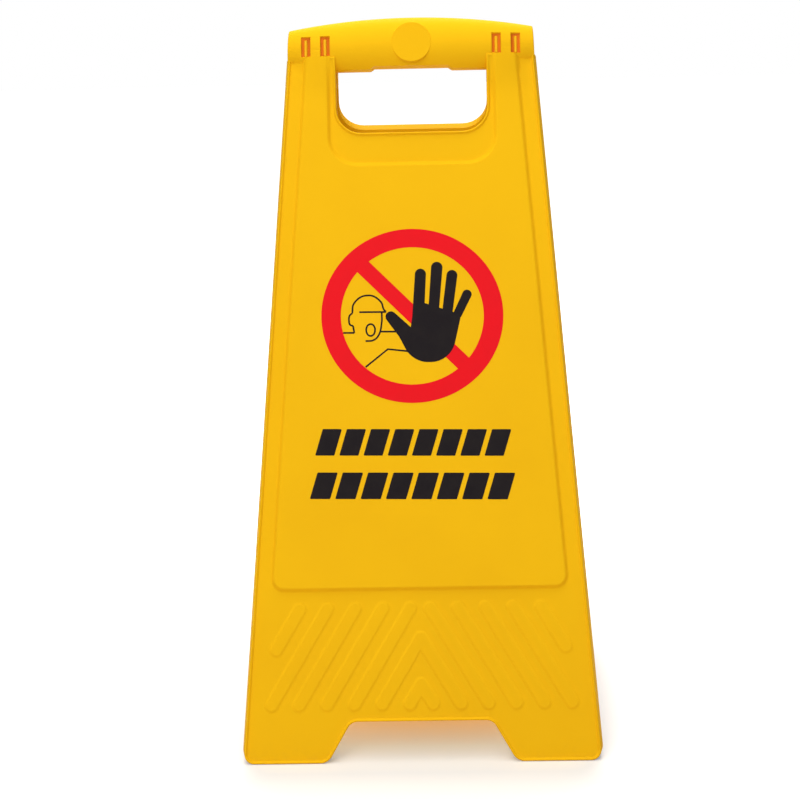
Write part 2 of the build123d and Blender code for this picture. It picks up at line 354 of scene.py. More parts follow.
def pull(bm, faces, depth):
    """Extrudes faces along Z and returns the first of the moved faces."""
    grown = bmesh.ops.extrude_face_region(bm, geom=faces)["geom"]
    bmesh.ops.translate(bm, verts=only(BMVert, grown), vec=(0, 0, depth))
    return only(BMFace, grown)[0]


def inset(bm, face, thickness, depth=0.0):
    bmesh.ops.inset_region(
        bm, faces=[face], thickness=thickness, depth=depth, use_boundary=True, use_even_offset=True
    )


def soft_step(bm, face, run, rise, steps=8):
    """Raises a face through an S-shaped slope and leaves a flat ring round its top."""
    heights = [rise * (1 - cos(pi * count / steps)) / 2 for count in range(steps + 1)]
    for low, high in zip(heights, heights[1:]):
        inset(bm, face, run / steps, high - low)
    inset(bm, face, run / steps)


def round_edge(bm, face, run, rise, steps):
    """Raises a face through a quarter round."""
    turns = [pi / 2 * count / steps for count in range(steps + 1)]
    for start, end in zip(turns, turns[1:]):
        inset(bm, face, run * (cos(start) - cos(end)), rise * (sin(end) - sin(start)))


def trim(bm, normal, offset):
    """Removes what lies behind a plane and returns the cut edges."""
    geom = bm.verts[:] + bm.edges[:] + bm.faces[:]
    cut = bmesh.ops.bisect_plane(
        bm, geom=geom, dist=WELD, plane_co=normal * offset, plane_no=normal, clear_inner=True
    )
    return only(BMEdge, cut["geom_cut"])


def score(bm, faces, point, normal):
    """Cuts faces along a plane and keeps both sides."""
    edges = {edge for face in faces for edge in face.edges}
    points = {vert for face in faces for vert in face.verts}
    geom = list(faces) + list(edges) + list(points)
    bmesh.ops.bisect_plane(bm, geom=geom, dist=WELD, plane_co=point, plane_no=normal)


def weld(bm):
    bmesh.ops.remove_doubles(bm, verts=bm.verts, dist=WELD)
    bmesh.ops.recalc_face_normals(bm, faces=bm.faces)


def rounded_bar(bm, start, end, start_width, end_width, level, segments=24):
    """A flat bar with round ends between two points, as one face."""
    run = Vector(end) - Vector(start)
    turn = Matrix.Rotation(Vector((1, 0)).angle_signed(run), 4, "Z").inverted()
    disc = bmesh.ops.create_circle(bm, cap_ends=True, segments=segments, radius=start_width / 2)["verts"]
    far = [vert for vert in disc if vert.co.x > WELD]
    bmesh.ops.scale(bm, verts=far, vec=Vector((1, 1, 1)) * end_width / start_width)
    bmesh.ops.translate(bm, verts=far, vec=(run.length, 0, 0))
    bmesh.ops.transform(bm, matrix=Matrix.Translation((*start, level)) @ turn, verts=disc)
    return disc[0].link_faces[0]


def add_object(name, data):
    made = bpy.data.objects.new(name, data)
    bpy.context.scene.collection.objects.link(made)
    return made


def new_mesh(bm, name):
    """A mesh made from a bmesh, which is freed."""
    mesh = bpy.data.meshes.new(name)
    bm.to_mesh(mesh)
    bm.free()
    return mesh


def final_mesh(source):
    """A mesh of an object as its modifiers or its curve's thickness leave it."""
    return bpy.data.meshes.new_from_object(source.evaluated_get(bpy.context.evaluated_depsgraph_get()))


def combine(first, second, operation):
    """Joins or cuts two closed shapes with a Boolean modifier; the first becomes the result."""
    helpers = []
    for name, source in (("first_shape", first), ("second_shape", second)):
        mesh = bpy.data.meshes.new(name)
        source.to_mesh(mesh)
        helpers.append(add_object(name, mesh))
    work = helpers[0].modifiers.new("combine", "BOOLEAN")
    work.object = helpers[1]
    work.operation = operation
    work.solver = "MANIFOLD"
    result = final_mesh(helpers[0])
    first.clear()
    first.from_mesh(result)
    second.free()
    spent = [result] + [helper.data for helper in helpers]
    for helper in helpers:
        bpy.data.objects.remove(helper)
    for mesh in spent:
        bpy.data.meshes.remove(mesh)


def make_piece(bm, name, side, placing, material):
    """Turns a finished bmesh into a named piece that rides on its panel's body."""
    bmesh.ops.transform(bm, matrix=placing, verts=bm.verts)
    mesh = new_mesh(bm, name)
    mesh.shade_smooth()
    mesh.set_sharp_from_angle(angle=SHARP)
    mesh.materials.append(material)
    piece = add_object(name, mesh)
    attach(piece, side)
    return piece


def panel_piece(bm, kind, scene, side, plastic):
    """A piece of the moulding, shown in place of the panel's plain CAD surface."""
    piece = make_piece(bm, f"{side}_{kind}", side, panel_place(side), plastic(scene.sign_finish))
    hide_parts(f"{side}_panel")


def print_piece(bm, kind, scene, side, ink_of):
    """A layer of ink on the sign field."""
    panel, ink = scene.sign_panel, scene.sign_print
    spot = Matrix.Translation((*ink.centre, panel.border_level + panel.field_rise))
    placing = panel_place(side) @ spot @ Matrix.Rotation(ink.turn, 4, "Z")
    make_piece(bm, f"{side}_print_{kind}", side, placing, ink_of(scene.sign_finish))


# Finishes


def new_material(name):
    made = bpy.data.materials.new(name)
    made.use_nodes = True
    return made, made.node_tree, made.node_tree.nodes["Principled BSDF"]


def set_inputs(tree, node, inputs):
    """Gives a node's inputs constants or the outputs of other nodes."""
    for name, value in inputs.items():
        if isinstance(value, bpy.types.NodeSocket):
            tree.links.new(value, node.inputs[name])
        else:
            node.inputs[name].default_value = value


def add_node(tree, kind, inputs):
    node = tree.nodes.new(kind)
    set_inputs(tree, node, inputs)
    return node


def object_place(tree):
    return tree.nodes.new("ShaderNodeTexCoord").outputs["Object"]


def add_axes(tree):
    """The place on the object as its X, Y and Z."""
    return add_node(tree, "ShaderNodeSeparateXYZ", {"Vector": object_place(tree)}).outputs


def add_noise(tree, scale, detail, roughness=0.5):
    inputs = {"Vector": object_place(tree), "Scale": scale, "Detail": detail, "Roughness": roughness}
    return add_node(tree, "ShaderNodeTexNoise", inputs).outputs["Fac"]


def add_range(tree, value, from_low, from_high, to_low, to_high):
    inputs = {"From Min": from_low, "From Max": from_high, "To Min": to_low, "To Max": to_high}
    return add_node(tree, "ShaderNodeMapRange", {"Value": value, **inputs}).outputs["Result"]


def add_math(tree, operation, *values):
    node = add_node(tree, "ShaderNodeMath", dict(enumerate(values)))
    node.operation = operation
    return node.outputs["Value"]


def add_mix(tree, factor, first, second):
    mix = tree.nodes.new("ShaderNodeMix")
    mix.data_type = "RGBA"
    set_inputs(tree, mix, {"Factor": factor, "A": first, "B": second})
    return mix.outputs["Result"]


def add_bump(tree, height, strength, distance, under=None):
    inputs = {"Height": height, "Strength": strength, "Distance": distance}
    if under:
        inputs["Normal"] = under
    return add_node(tree, "ShaderNodeBump", inputs).outputs["Normal"]


def moulded_plastic(name, plain, drifted, scuff, gloss, shine):
    """Moulded plastic: slow colour drift, fine grain, slight sink waves and faint scuffs on the feet."""
    if name in bpy.data.materials:
        return bpy.data.materials[name]
    made, tree, shader = new_material(name)
    drift = add_range(tree, add_noise(tree, scale=9, detail=3), 0.35, 0.65, 0, 1)
    low = add_range(tree, add_axes(tree)["Z"], 0.0, 0.02, 1, 0)
    smudge = add_range(tree, add_noise(tree, scale=160, detail=4, roughness=0.6), 0.5, 0.75, 0, 0.3)
    worn = add_math(tree, "MULTIPLY", low, smudge)
    waves = add_bump(tree, add_noise(tree, scale=22, detail=1), strength=0.10, distance=0.0006)
    grain = add_noise(tree, scale=2600, detail=2)
    skin = {
        "Base Color": add_mix(tree, worn, add_mix(tree, drift, plain, drifted), scuff),
        "Roughness": add_range(tree, add_noise(tree, scale=160, detail=4), 0.3, 0.7, gloss, gloss + 0.1),
        "Normal": add_bump(tree, grain, strength=0.06, distance=0.00008, under=waves),
        "Specular IOR Level": shine,
    }
    set_inputs(tree, shader, skin)
    return made


def yellow_plastic(finish):
    colours = (finish.yellow, finish.deep_yellow, finish.scuff)
    return moulded_plastic("moulded_yellow_plastic", *colours, gloss=0.44, shine=0.004)


def hinge_plastic(finish):
    colours = (finish.yellow, finish.deep_yellow, finish.scuff)
    return moulded_plastic("smooth_hinge_plastic", *colours, gloss=0.25, shine=0.06)


# Yellow plastic painted a deeper orange, which paints in the glow of light inside the hollow handle.
def painted_glow_plastic(finish):
    colours = (finish.painted_glow_orange, finish.painted_glow_deep_orange, finish.scuff)
    return moulded_plastic("glowing_pocket_plastic", *colours, gloss=0.4, shine=0.01)


def printed_ink(name, plain, thin):
    """Screen-printed ink with thin patches and a slightly uneven gloss."""
    if name in bpy.data.materials:
        return bpy.data.materials[name]
    made, tree, shader = new_material(name)
    patches = add_range(tree, add_noise(tree, scale=60, detail=5, roughness=0.6), 0.4, 0.8, 0, 1)
    grain = add_noise(tree, scale=2600, detail=2)
    skin = {
        "Base Color": add_mix(tree, patches, plain, thin),
        "Roughness": add_range(tree, add_noise(tree, scale=300, detail=3), 0.3, 0.7, 0.5, 0.6),
        "Normal": add_bump(tree, grain, strength=0.05, distance=0.00008),
        "Specular IOR Level": 0.06,
    }
    set_inputs(tree, shader, skin)
    return made


def red_ink(finish):
    return printed_ink("red_print", finish.red, finish.deep_red)


def black_ink(finish):
    return printed_ink("black_print", finish.black, finish.worn_black)


def camera_rays(tree):
    """One for rays from the camera, reflections and transmission, and nought for the rest."""
    path = tree.nodes.new("ShaderNodeLightPath").outputs
    seen = path["Is Camera Ray"]
    for kind in ("Is Glossy Ray", "Is Transmission Ray"):
        seen = add_math(tree, "MAXIMUM", seen, path[kind])
    return seen


def studio_floor(finish, stage):
    """Pale floor that keeps the stand's shadow, with painted warm light under the stand, painted light that
    lifts it towards white near the feet, and plain white further off.
    """
    made, tree, shader = new_material("studio_floor")
    tint = add_range(tree, add_noise(tree, scale=3, detail=2), 0.3, 0.7, 0, 1)
    axes = add_axes(tree)
    ways = []
    for axis, squeeze, start in (("X", stage.side_squeeze, stage.side_start), ("Y", 1, 0)):
        size = add_math(tree, "ABSOLUTE", axes[axis])
        ways.append(add_math(tree, "MULTIPLY_ADD", size, squeeze, -squeeze * start))
    away = add_math(tree, "SMOOTH_MAX", *ways, stage.warm_reach)
    share = add_range(tree, away, 0, stage.white_from, 0, 1)
    glow = add_node(tree, "ShaderNodeValToRGB", {"Fac": share})
    # Painted light on the floor, seen from the camera: warm orange under the stand, then a pale lift and a
    # bluish lift that take the warm-tinted floor towards white.
    stops = [
        (stage.warm_reach, finish.painted_warm_glow),
        (stage.pale_reach, finish.painted_pale_glow),
        (stage.shadow_reach, finish.painted_near_glow),
        (stage.white_from, (1, 1, 1, 1)),
    ]
    ramp = glow.color_ramp.elements
    for count, (reach, shade) in enumerate(stops):
        stop = ramp[count] if count < 2 else ramp.new(1)
        stop.position = reach / stage.white_from
        stop.color = shade
    skin = {
        "Base Color": add_mix(tree, tint, finish.floor, finish.floor_drift),
        "Roughness": 0.9,
        "Specular IOR Level": 0.0,
        "Emission Color": glow.outputs["Color"],
        "Emission Strength": camera_rays(tree),
    }
    set_inputs(tree, shader, skin)
    return made


# Moulded panels


def spread_sides(bm, panel):
    """Tapers the outer side walls, so that they are widest at the fold plane."""
    for vert in bm.verts:
        outer = half_width(panel, -vert.co.y, panel.side_inset)
        if vert.co.z < panel.fold_gap + WELD and abs(vert.co.x) > outer - WELD:
            vert.co.x += copysign(panel.draft, vert.co.x)


def round_feet(bm, panel):
    """Rounds the inner and outer corners of both feet."""
    divide = panel.base_width / 2 - panel.cut_height
    sole = panel.fold_gap - panel.leg_length
    for radius, outer in ((panel.foot_inner_radius, False), (panel.foot_outer_radius, True)):
        for hand in (-1, 1):
            corner = [
                edge
                for edge in bm.edges
                if max(vert.co.y for vert in edge.verts) < sole
                and abs(edge.verts[0].co.z - edge.verts[1].co.z) > edge.calc_length() / 2
                and hand * edge.verts[0].co.x > 0
                and (abs(edge.verts[0].co.x) > divide) == outer
            ]
            opening = pi - corner[0].calc_face_angle()
            bevel(bm, corner, "EDGES", radius / tan(opening / 2), segments=8)


def flare_arms(bm, panel, handle):
    """Leads the front of the arms out to the handle, so that they run into its front at the hinge axis."""
    skin_level = panel.border_level - WELD
    inner = panel.hole_width / 2 - panel.draft
    outer = half_width(panel, panel.arm_top, panel.field_margin)
    for count in range(ARM_LEVELS):
        down = panel.arm_flare * (1 - count / ARM_LEVELS)
        skin = [face for face in bm.faces if min(vert.co.z for vert in face.verts) > skin_level]
        score(bm, skin, (0, -down, 0), ALONG)
    for vert in bm.verts:
        across, up, level = abs(vert.co.x), vert.co.y, vert.co.z
        if level > skin_level and up > -panel.arm_flare and across > inner:
            run = min(1, 1 + up / panel.arm_flare)
            along = max(0, min(1, (outer + panel.field_run - across) / (2 * panel.field_run)))
            front = barrel_radius(handle, panel, min(across, outer)) - panel.arm_dip
            front += ARM_RELIEF * (level - panel.border_level)
            vert.co.z += max(0, front - level) * run**2 * (3 - 2 * run) * along


def make_board(scene, side):
    """The board: a tray open at the back, with rounded lips and an opening behind the sign field."""
    panel = scene.sign_panel
    bm = bmesh.new()
    outline = add_outline(bm, board_corners(panel), panel.fold_gap)
    pull(bm, [outline], panel.border_level - panel.fold_gap)
    weld(bm)
    spread_sides(bm, panel)
    soles = trim(bm, UP, -panel.leg_length * cos(LEAN))
    bmesh.ops.holes_fill(bm, edges=soles)
    weld(bm)
    round_feet(bm, panel)
    front = facing(bm, OUT)
    back = facing(bm, -OUT)
    lip_steps = 6
    round_edge(bm, front, panel.lip_width / 2, panel.lip_rise, lip_steps)
    soft_step(bm, front, panel.lip_fall, -panel.lip_rise, lip_steps)
    inset(bm, back, panel.wall)
    inset(bm, back, panel.wall * TRAY_LEAN, panel.wall + panel.fold_gap - panel.border_level)
    openings = []
    for face, level in ((front, panel.border_level), (back, panel.border_level - panel.wall)):
        rim = face.edges[:]
        bmesh.ops.delete(bm, geom=[face], context="FACES_ONLY")
        opening = add_outline(bm, field_corners(panel, panel.wall, panel.hole_bottom), level)
        loop = opening.edges[:]
        bmesh.ops.delete(bm, geom=[opening], context="FACES_ONLY")
        bmesh.ops.triangle_fill(bm, edges=rim + loop, use_beauty=True)
        openings += loop
    bmesh.ops.bridge_loops(bm, edges=openings)
    weld(bm)
    flare_arms(bm, panel, scene.sign_handle)
    panel_piece(bm, "board", scene, side, yellow_plastic)


def open_arms(bm, panel, handle):
    """Cuts the windows into the arms' upper ends and keeps the arms clear of the hinge."""
    inner, outer = window_places(handle, panel)
    far = handle.crown_radius
    core = barrel_radius(handle, panel, outer) - panel.wall
    for hand in (-1, 1):
        hub = bmesh.new()
        across = Matrix.Translation((hand * (inner + outer) / 2, 0, 0)) @ Matrix.Rotation(pi / 2, 4, "Y")
        cylinder = {"radius1": core, "radius2": core, "depth": 2 * handle.window_pitch}
        bmesh.ops.create_cone(hub, cap_ends=True, segments=96, matrix=across, **cylinder)
        combine(bm, hub, "DIFFERENCE")
        for centre in (inner, outer):
            window = bmesh.new()
            size = Matrix.Diagonal((handle.window_width, handle.window_height, 2 * far, 1))
            bmesh.ops.create_cube(window, size=1, matrix=Matrix.Translation((hand * centre, 0, far)) @ size)
            combine(bm, window, "DIFFERENCE")


def make_field(scene, side):
    """The raised sign field: a shallow tray with a soft step round it, let into the board's opening."""
    panel, handle = scene.sign_panel, scene.sign_handle
    bm = bmesh.new()
    outline = add_outline(bm, field_corners(panel, 0, panel.field_top), panel.border_level - panel.wall)
    pull(bm, [outline], panel.wall)
    weld(bm)
    front = facing(bm, OUT)
    back = facing(bm, -OUT)
    soft_step(bm, front, panel.field_run, panel.field_rise)
    inset(bm, back, panel.wall)
    inset(bm, back, panel.field_run / 2, -panel.field_rise)
    weld(bm)
    flare_arms(bm, panel, handle)
    open_arms(bm, panel, handle)
    panel_piece(bm, "sign_field", scene, side, yellow_plastic)


def make_ribs(scene, side):
    """The chevron ribs: soft-edged bars that lean towards the middle, made on the right and mirrored."""
    panel = scene.sign_panel
    bm = bmesh.new()
    slant = tan(panel.rib_slope)
    level = panel.border_level - panel.wall / 2
    for count in range(panel.full_ribs + 1):
        start = panel.rib_start if count < panel.full_ribs else panel.outer_rib_start
        foot = panel.rib_first + count * panel.rib_pitch - (start - panel.rib_start) / slant
        rise = min(panel.rib_end - start, foot * slant)
        low = (foot, start - panel.leg_length)
        high = (foot - rise / slant, start + rise - panel.leg_length)
        base = rounded_bar(bm, low, high, panel.rib_width, panel.rib_width, level)
        soft_step(bm, pull(bm, [base], panel.wall / 2), panel.rib_run, panel.rib_rise)
    trim(bm, ACROSS, 0)
    right_half = bm.verts[:] + bm.edges[:] + bm.faces[:]
    bmesh.ops.mirror(bm, geom=right_half, axis="X", merge_dist=WELD)
    weld(bm)
    panel_piece(bm, "chevron_ribs", scene, side, yellow_plastic)


# Handle and hinge


def window_places(handle, panel):
    outer = panel.hinge_width / 2 - handle.window_inset
    return [outer - handle.window_pitch, outer]


def crown_sweep(handle, panel):
    """Radius of the line that crowns the barrel from end to end."""
    reach = panel.hinge_width / 2 - side_slope(panel) * handle.end_radius
    rise = handle.crown_radius - handle.end_radius
    return (reach**2 + rise**2) / (2 * rise)


def barrel_radius(handle, panel, across):
    sweep = crown_sweep(handle, panel)
    return handle.crown_radius - sweep + (sweep**2 - across**2) ** 0.5


def turn_barrel(handle, panel):
    """Half of the crowned barrel as an open skin about the hinge axis, its ends in line with the sides."""
    bm = bmesh.new()
    sweep = crown_sweep(handle, panel)
    reach = panel.hinge_width / 2 + handle.end_proud
    corner = bm.verts.new((-reach, barrel_radius(handle, panel, reach), 0))
    centre = (0, handle.crown_radius - sweep, 0)
    turn = -2 * asin(reach / sweep)
    bmesh.ops.spin(bm, geom=[corner], cent=centre, axis=OUT, angle=turn, steps=64)
    by_place = sorted(bm.verts, key=lambda vert: vert.co.x)
    for end in (by_place[0], by_place[-1]):
        tip = bmesh.ops.extrude_vert_indiv(bm, verts=[end])["verts"][0]
        tip.co = (end.co.x, 0, 0)
    bmesh.ops.rotate(bm, verts=bm.verts, cent=(0, 0, 0), matrix=Matrix.Rotation(LEAN, 3, "X"))
    profile = bm.verts[:] + bm.edges[:]
    bmesh.ops.spin(bm, geom=profile, cent=(0, 0, 0), axis=ACROSS, angle=pi - LEAN, steps=48)
    weld(bm)
    if facing(bm, OUT).calc_center_median().z < 0:
        bmesh.ops.reverse_faces(bm, faces=bm.faces)
    ends = {face for face in bm.faces if abs(face.normal.x) > END_FACING}
    rims = {edge for face in ends for edge in face.edges if not ends.issuperset(edge.link_faces)}
    bevel(bm, list(rims), "EDGES", handle.end_round, segments=5)
    for vert in bm.verts:
        vert.co.x -= side_slope(panel) / 2 * vert.co.y * (vert.co.x / reach) ** END_SLANT
    trim(bm, OUT, panel.fold_gap)
    trim(bm, STOP_NORMAL, handle.stop_gap)
    return bm


def cut_grip_floor(bm, handle, panel):
    """Cuts the flat underside with its finger notch and closes it back to the fold plane."""
    low = -handle.grip_floor
    high = low + handle.notch_rise
    inner = handle.notch_width / 2
    trim(bm, ALONG, low)
    under = [face for face in bm.faces if min(vert.co.y for vert in face.verts) < high]
    score(bm, under, (0, high, 0), ALONG)
    for hand in (-1, 1):
        under = faces_where(bm, lambda middle: middle.y < high)
        score(bm, under, (hand * inner, high, 0), (handle.notch_rise, hand * handle.notch_slant, 0))

    def in_notch(middle):
        reach = inner + handle.notch_slant * (high - middle.y) / handle.notch_rise
        return middle.y < high and abs(middle.x) < reach

    bmesh.ops.delete(bm, geom=faces_where(bm, in_notch), context="FACES")
    brim = [
        edge
        for edge in bm.edges
        if edge.is_boundary
        and max(vert.co.y for vert in edge.verts) < high + WELD
        and max(vert.co.z for vert in edge.verts) > panel.fold_gap + WELD
    ]
    grown = bmesh.ops.extrude_edge_only(bm, edges=brim)["geom"]
    to_fold = Matrix.Translation((0, 0, -panel.fold_gap))
    bmesh.ops.scale(bm, verts=only(BMVert, grown), vec=(1, 1, 0), space=to_fold)


def skin_near(bm, handle, centre, wide, tall):
    """The faces of the handle's skin within a distance of a window's centre."""
    floor = handle.hub_radius
    return faces_where(
        bm, lambda middle: abs(middle.x - centre) < wide and abs(middle.y) < tall and middle.z > floor
    )


def cut_windows(bm, handle, panel):
    """Opens the two hinge windows in each arm."""
    wide, tall = handle.window_width / 2, handle.window_height / 2
    for centre in [hand * outward for outward in window_places(handle, panel) for hand in (-1, 1)]:
        planes = [((centre + side, 0, 0), ACROSS) for side in (-wide, wide)]
        planes += [((0, up, 0), ALONG) for up in (-tall, tall)]
        for point, normal in planes:
            score(bm, skin_near(bm, handle, centre, handle.window_pitch / 2, 2 * tall), point, normal)
        bmesh.ops.delete(bm, geom=skin_near(bm, handle, centre, wide, tall), context="FACES")


def add_boss(bm, handle):
    """Joins on the flat round boss, whose rim rounds off into the handle."""
    boss = bmesh.new()
    bmesh.ops.create_circle(boss, cap_ends=True, segments=96, radius=handle.boss_diameter / 2)
    base = handle.crown_radius / 2
    bmesh.ops.translate(boss, verts=boss.verts, vec=(*handle.boss_place, base))
    top = pull(boss, boss.faces[:], handle.boss_level - handle.boss_fall - base)
    rim_steps = 8
    round_edge(boss, top, handle.boss_run, handle.boss_fall, rim_steps)
    inset(boss, top, handle.boss_run / rim_steps)
    weld(boss)
    combine(bm, boss, "UNION")


def make_handle(scene, side):
    """Half of the round carrying handle, a thin skin with windows, a finger notch and a flat boss."""
    handle, panel = scene.sign_handle, scene.sign_panel
    bm = turn_barrel(handle, panel)
    cut_grip_floor(bm, handle, panel)
    cut_windows(bm, handle, panel)
    bmesh.ops.remove_doubles(bm, verts=bm.verts, dist=WELD)
    bmesh.ops.solidify(bm, geom=bm.faces[:], thickness=panel.wall)
    add_boss(bm, handle)
    panel_piece(bm, "handle_half", scene, side, yellow_plastic)


def add_plate(bm, handle, radius, across, cuts, bites):
    """A flat ring plate about the hinge axis, trimmed by planes and with rectangular bites out of it."""
    thickness = handle.plate_thickness
    sheet = bmesh.new()
    for rim in (radius, handle.bore_radius):
        bmesh.ops.create_circle(sheet, segments=64, radius=rim, matrix=Matrix.Rotation(pi / 2, 4, "Y"))
    bmesh.ops.bridge_loops(sheet, edges=sheet.edges[:])
    for normal, offset in cuts:
        trim(sheet, normal, offset)
    for low, high in bites:
        for up, level in (low, high):
            score(sheet, sheet.faces[:], (0, up, 0), ALONG)
            score(sheet, sheet.faces[:], (0, 0, level), OUT)
        gone = faces_where(sheet, lambda spot: low[0] < spot.y < high[0] and low[1] < spot.z < high[1])
        bmesh.ops.delete(sheet, geom=gone, context="FACES")
    bmesh.ops.translate(sheet, verts=sheet.verts, vec=(across - thickness / 2, 0, 0))
    if sheet.faces[:][0].normal.x > 0:
        bmesh.ops.reverse_faces(sheet, faces=sheet.faces)
    bmesh.ops.solidify(sheet, geom=sheet.faces[:], thickness=thickness)
    weld(sheet)
    edges = [edge for edge in sheet.edges if edge.calc_face_angle() > PLATE_EDGE]
    bevel(sheet, edges, "EDGES", handle.plate_round, segments=2, clamp_overlap=True)
    mesh = new_mesh(sheet, "hinge_plate")
    bm.from_mesh(mesh)
    bpy.data.meshes.remove(mesh)


def pocket_floor(handle, panel, across):
    return barrel_radius(handle, panel, across) - handle.pocket_depth


def add_bar(bm, handle, panel, across):
    """A rounded upright bar in the pocket of a window."""
    width = handle.bar_width
    reach = (handle.window_height - width) / 2
    floor = pocket_floor(handle, panel, across) - handle.pocket_wall / 2
    bar = rounded_bar(bm, (across, -reach), (across, reach - width), width, width, floor)
    soft_step(bm, pull(bm, [bar], handle.pocket_wall), width / 4, handle.bar_rise)


def make_hinge_plates(scene, side):
    """Two hooks in the left arm, three pin carriers in the right arm and a bar in each window pocket."""
    handle, panel = scene.sign_handle, scene.sign_panel
    bm = bmesh.new()
    behind = [(OUT, panel.fold_gap), (STOP_NORMAL, handle.stop_gap)]
    far = handle.crown_radius
    half = handle.window_height / 2
    mouth = ((-handle.mouth_width / 2, -far), (handle.mouth_width / 2, 0))
    inner, outer = window_places(handle, panel)
    step = handle.plate_thickness + handle.plate_gap
    carriers = (inner - step, (inner + outer) / 2, outer + step)
    for across in (-inner, -outer, *carriers):
        rim = barrel_radius(handle, panel, across) - panel.wall / 2
        hook_front = pocket_floor(handle, panel, across) - handle.pocket_wall * HOOK_SPACE
        hook = across < 0
        add_plate(bm, handle, rim, across, behind, [((-half, hook_front), (half, far))] if hook else [])
        add_plate(bm, handle, handle.hub_radius, across, [], [mouth] if hook else [])
    for across in (-outer, -inner, inner, outer):
        add_bar(bm, handle, panel, across)
    panel_piece(bm, "hinge_plates", scene, side, hinge_plastic)


def make_pockets(scene, side):
    """A shallow tray behind each window, let into the handle's skin from inside and painted orange for the
    glow of light in the hollow handle.
    """
    handle, panel = scene.sign_handle, scene.sign_panel
    bm = bmesh.new()
    wall = handle.pocket_wall
    wide, tall = handle.window_width / 2 + wall, handle.window_height / 2 + wall
    for centre in window_places(handle, panel):
        floor = pocket_floor(handle, panel, centre)
        brim = (barrel_radius(handle, panel, centre + wide) ** 2 - tall**2) ** 0.5 - wall / 2
        for hand in (-1, 1):
            outline = add_outline(bm, rectangle(hand * centre, 0, wide, tall), floor - wall)
            opening = pull(bm, [outline], brim - floor + wall)
            inset(bm, opening, wall * POCKET_BRIM)
            inset(bm, opening, wall * TRAY_LEAN, floor - brim)
    weld(bm)
    panel_piece(bm, "window_pockets", scene, side, painted_glow_plastic)


def finish_pin(scene, side):
    """Gives the CAD pin the finish of the hinge."""
    for slot in frame["nodes"][f"{side}_hinge_pin"].material_slots:
        slot.material = hinge_plastic(scene.sign_finish)


# Print


def make_ring(scene, side):
    """The red ring and its slash."""
    ink = scene.sign_print
    ring = bmesh.new()
    for radii in (ink.ring_outer, ink.ring_inner):
        oval = Matrix.Diagonal((radii[0], radii[1], 1, 1))
        bmesh.ops.create_circle(ring, segments=128, radius=1, matrix=oval)
    bmesh.ops.bridge_loops(ring, edges=ring.edges[:])
    pull(ring, ring.faces[:], ink.ink)
    weld(ring)
    slash = bmesh.new()
    corners = rectangle(0, ink.slash_offset, ink.slash_length / 2, ink.slash_width / 2)
    pull(slash, [add_outline(slash, corners, 0)], ink.ink * SLASH_INK)
    slope = Matrix.Rotation(ink.slash_slope, 3, "Z")
    bmesh.ops.rotate(slash, verts=slash.verts, cent=(0, 0, 0), matrix=slope)
    weld(slash)
    print_piece(ring, "ring", scene, side, red_ink)
    print_piece(slash, "slash", scene, side, red_ink)


def make_bars(scene, side):
    """Two rows of plain slanted bars where a caption would be."""
    ink = scene.sign_print
    bm = bmesh.new()
    lean, rounding = ink.bar_slant, ink.bar_gap / 5
    for middle, row_length in ((ink.upper_row, ink.upper_length), (ink.lower_row, ink.lower_length)):
        width = (row_length - lean - (ink.bar_count - 1) * ink.bar_gap) / ink.bar_count
        low, high = middle[1] - ink.bar_height / 2, middle[1] + ink.bar_height / 2
        for count in range(ink.bar_count):
            left = middle[0] - row_length / 2 + count * (width + ink.bar_gap)
            corners = [(left, low), (left + width, low), (left + width + lean, high), (left + lean, high)]
            outline = add_outline(bm, [(*corner, rounding) for corner in corners], 0, steps=4)
            pull(bm, [outline], ink.ink)
    weld(bm)
    print_piece(bm, "bars", scene, side, black_ink)


def make_hand(scene, side):
    """The raised hand: tapered fingers and a thumb on a palm with a round heel."""
    height = scene.sign_print.ink * HAND_INK
    hand = bmesh.new()
    palm = [(2, 13.5, 0), (40.9, 1, 0), (32.3, -38.7, 20)]
    palm += [(0.4, -38.7, 20), (-13.6, -12.5, 0), (-1.3, -9.6, 0)]
    corners = [[size / DRAWN for size in corner] for corner in palm]
    pull(hand, [add_outline(hand, corners, 0)], height)
    weld(hand)
    digits = [
        ((4.6, -7.0), (6.8, 34.9), 10.0, 9.3),
        ((18.0, 6.0), (20.5, 40.5), 8.9, 9.6),
        ((29.5, 4.0), (33.2, 33.9), 8.7, 9.1),
        ((38.0, 1.5), (45.8, 18.0), 7.3, 7.8),
        ((-6.0, -13.6), (-17.9, -0.7), 12.6, 9.0),
    ]
    for root, tip, root_width, tip_width in digits:
        digit = bmesh.new()
        ends = (Vector(root) / DRAWN, Vector(tip) / DRAWN)
        widths = (root_width / DRAWN, tip_width / DRAWN)
        pull(digit, [rounded_bar(digit, *ends, *widths, 0, segments=48)], height)
        weld(digit)
        combine(hand, digit, "UNION")
    print_piece(hand, "hand", scene, side, black_ink)


